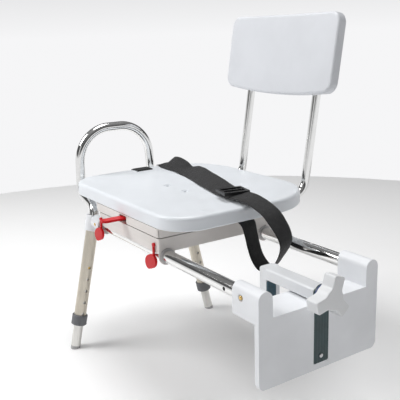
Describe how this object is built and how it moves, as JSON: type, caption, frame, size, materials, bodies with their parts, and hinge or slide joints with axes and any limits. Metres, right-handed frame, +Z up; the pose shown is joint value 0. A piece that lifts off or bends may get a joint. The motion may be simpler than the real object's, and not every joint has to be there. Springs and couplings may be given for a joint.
{
  "type": "bath transfer bench",
  "caption": "Sliding, swivelling bath seat with a backrest and belt on rails, one end on adjustable legs with a grab arm, the other clamped over the tub rim.",
  "frame": {"origin": "middle of the saddle shelf's underside, where the bench rests on the tub's rim", "axes": "+X runs along the rails into the tub, +Y from the sitter's knees towards the backrest, +Z up"},
  "size_m": [0.8877, 0.6434, 0.8555],
  "materials": {
    "chrome": "bright plated tube",
    "satin_leg": "satin champagne anodised tube",
    "inner_tube": "satin natural tube with rub marks",
    "brass_button": "polished",
    "grey_plastic": "moulded, fine grain",
    "bush_plastic": "moulded",
    "white_plastic": "moulded, fine grain",
    "seat_plastic": "blow-moulded, fine pebble grain",
    "back_plastic": "blow-moulded, fine pebble grain",
    "cream_paint": "powder coat",
    "red_plastic": "moulded gloss",
    "black_plastic": "moulded satin",
    "belt_webbing": "woven nylon webbing",
    "foot_rubber": "matte",
    "pad_rubber": "matte",
    "teal_paint": "powder coat",
    "grey_paint": "powder coat",
    "knob_plastic": "moulded satin",
    "navy_plastic": "moulded",
    "steel": "zinc plated"
  },
  "bodies": {
    "frame": {"front_rail": "chrome", "rear_rail": "chrome", "front_rail_bracket": "white_plastic", "rear_rail_bracket": "white_plastic", "front_leg_tube": "satin_leg", "rear_leg_tube": "satin_leg", "front_leg_collar": "grey_plastic", "rear_leg_collar": "grey_plastic", "grab_arm": "chrome", "arm_bushes": "grey_plastic", "tub_saddle": "white_plastic", "clamp_strap": "teal_paint", "strap_screw": "steel"},
    "front_leg": {"front_leg_extension": "inner_tube", "front_leg_guide": "grey_plastic", "front_foot_plug": "foot_rubber", "front_leaf_spring": "steel"},
    "rear_leg": {"rear_leg_extension": "inner_tube", "rear_leg_guide": "grey_plastic", "rear_foot_plug": "foot_rubber", "rear_leaf_spring": "steel"},
    "front_leg_snap": {"front_leg_button": "brass_button"},
    "rear_leg_snap": {"rear_leg_button": "brass_button"},
    "front_rail_snap": {"front_rail_button": "brass_button"},
    "rear_rail_snap": {"rear_rail_button": "brass_button"},
    "front_bracket_snap": {"front_bracket_button": "brass_button"},
    "rear_bracket_snap": {"rear_bracket_button": "brass_button"},
    "carriage": {"carriage_tray": "cream_paint", "rail_bushes": "bush_plastic", "bearing_lower_race": "steel", "bearing_balls": "steel"},
    "seat": {"bearing_upper_race": "steel", "swivel_plate": "cream_paint", "swivel_pivot": "steel", "lever_hinge": "steel", "seat_shell": "seat_plastic", "seat_caps": "seat_plastic", "plate_bolts": "steel", "post_clips": "white_plastic", "left_back_post": "chrome", "right_back_post": "chrome", "post_caps": "grey_plastic", "back_panel": "back_plastic", "back_bolts": "steel", "belt_anchor": "belt_webbing", "belt_strap": "belt_webbing", "belt_loop": "belt_webbing", "belt_buckle": "black_plastic"},
    "left_lever": {"left_slide_lever": "red_plastic", "left_slide_cam": "black_plastic"},
    "right_lever": {"right_slide_lever": "red_plastic", "right_slide_cam": "black_plastic"},
    "swivel_release": {"swivel_lever": "red_plastic"},
    "swivel_lock": {"lock_pin": "steel"},
    "knob": {"clamp_knob": "knob_plastic", "clamp_rod": "steel", "clamp_washer": "navy_plastic"},
    "jaw": {"clamp_bar": "grey_paint", "clamp_nut": "steel", "jaw_pad": "pad_rubber"}
  },
  "joints": [
    {"name": "front_leg_slide", "type": "slide", "parent": "frame", "child": "front_leg", "axis": [0, -0.2244, -0.9745], "range_m": [0, 0.127]},
    {"name": "rear_leg_slide", "type": "slide", "parent": "frame", "child": "rear_leg", "axis": [0, 0.2244, -0.9745], "range_m": [0, 0.127]},
    {"name": "front_leg_button_slide", "type": "slide", "parent": "front_leg", "child": "front_leg_snap", "axis": [1, 0, 0], "range_m": [0, 0.0035], "stiffness_N_per_m": 1000},
    {"name": "rear_leg_button_slide", "type": "slide", "parent": "rear_leg", "child": "rear_leg_snap", "axis": [1, 0, 0], "range_m": [0, 0.0035], "stiffness_N_per_m": 1000},
    {"name": "front_rail_button_slide", "type": "slide", "parent": "frame", "child": "front_rail_snap", "axis": [0, 1, 0], "range_m": [0, 0.004], "stiffness_N_per_m": 1000},
    {"name": "rear_rail_button_slide", "type": "slide", "parent": "frame", "child": "rear_rail_snap", "axis": [0, -1, 0], "range_m": [0, 0.004], "stiffness_N_per_m": 1000},
    {"name": "front_bracket_button_slide", "type": "slide", "parent": "frame", "child": "front_bracket_snap", "axis": [0, 1, 0], "range_m": [0, 0.004], "stiffness_N_per_m": 1000},
    {"name": "rear_bracket_button_slide", "type": "slide", "parent": "frame", "child": "rear_bracket_snap", "axis": [0, -1, 0], "range_m": [0, 0.004], "stiffness_N_per_m": 1000},
    {"name": "carriage_slide", "type": "slide", "parent": "frame", "child": "carriage", "axis": [1, 0, 0], "range_m": [0, 0.25], "deforming": ["belt_loop"]},
    {"name": "seat_swivel", "type": "hinge", "parent": "carriage", "child": "seat", "pos_m": [-0.441, 0, 0.0865], "axis": [0, 0, 1], "range_deg": [-90, 0], "deforming": ["belt_loop"]},
    {"name": "left_slide_lock", "type": "hinge", "parent": "carriage", "child": "left_lever", "pos_m": [-0.575, -0.1565, 0.064], "axis": [0, 1, 0], "range_deg": [0, 70]},
    {"name": "right_slide_lock", "type": "hinge", "parent": "carriage", "child": "right_lever", "pos_m": [-0.311, -0.1565, 0.064], "axis": [0, 1, 0], "range_deg": [0, 70]},
    {"name": "swivel_release_hinge", "type": "hinge", "parent": "seat", "child": "swivel_release", "pos_m": [-0.458, -0.1405, 0.093], "axis": [1, 0, 0], "range_deg": [-8, 5], "stiffness_Nm_per_rad": 1},
    {"name": "swivel_lock_slide", "type": "slide", "parent": "seat", "child": "swivel_lock", "axis": [0, 0, 1], "range_m": [-0.00315, 0.002]},
    {"name": "knob_turn", "type": "hinge", "parent": "frame", "child": "knob", "pos_m": [0.06, 0, 0.024], "axis": [1, 0, 0], "range_deg": [0, 1440]},
    {"name": "jaw_slide", "type": "slide", "parent": "frame", "child": "jaw", "axis": [1, 0, 0], "range_m": [-0.02, 0]}
  ],
  "couplings": [
    {"joint": "knob_turn", "follows": "jaw_slide", "rad_per_m": -1256.6},
    {"joint": "swivel_lock_slide", "follows": "swivel_release_hinge", "m_per_rad": 0.0225}
  ]
}
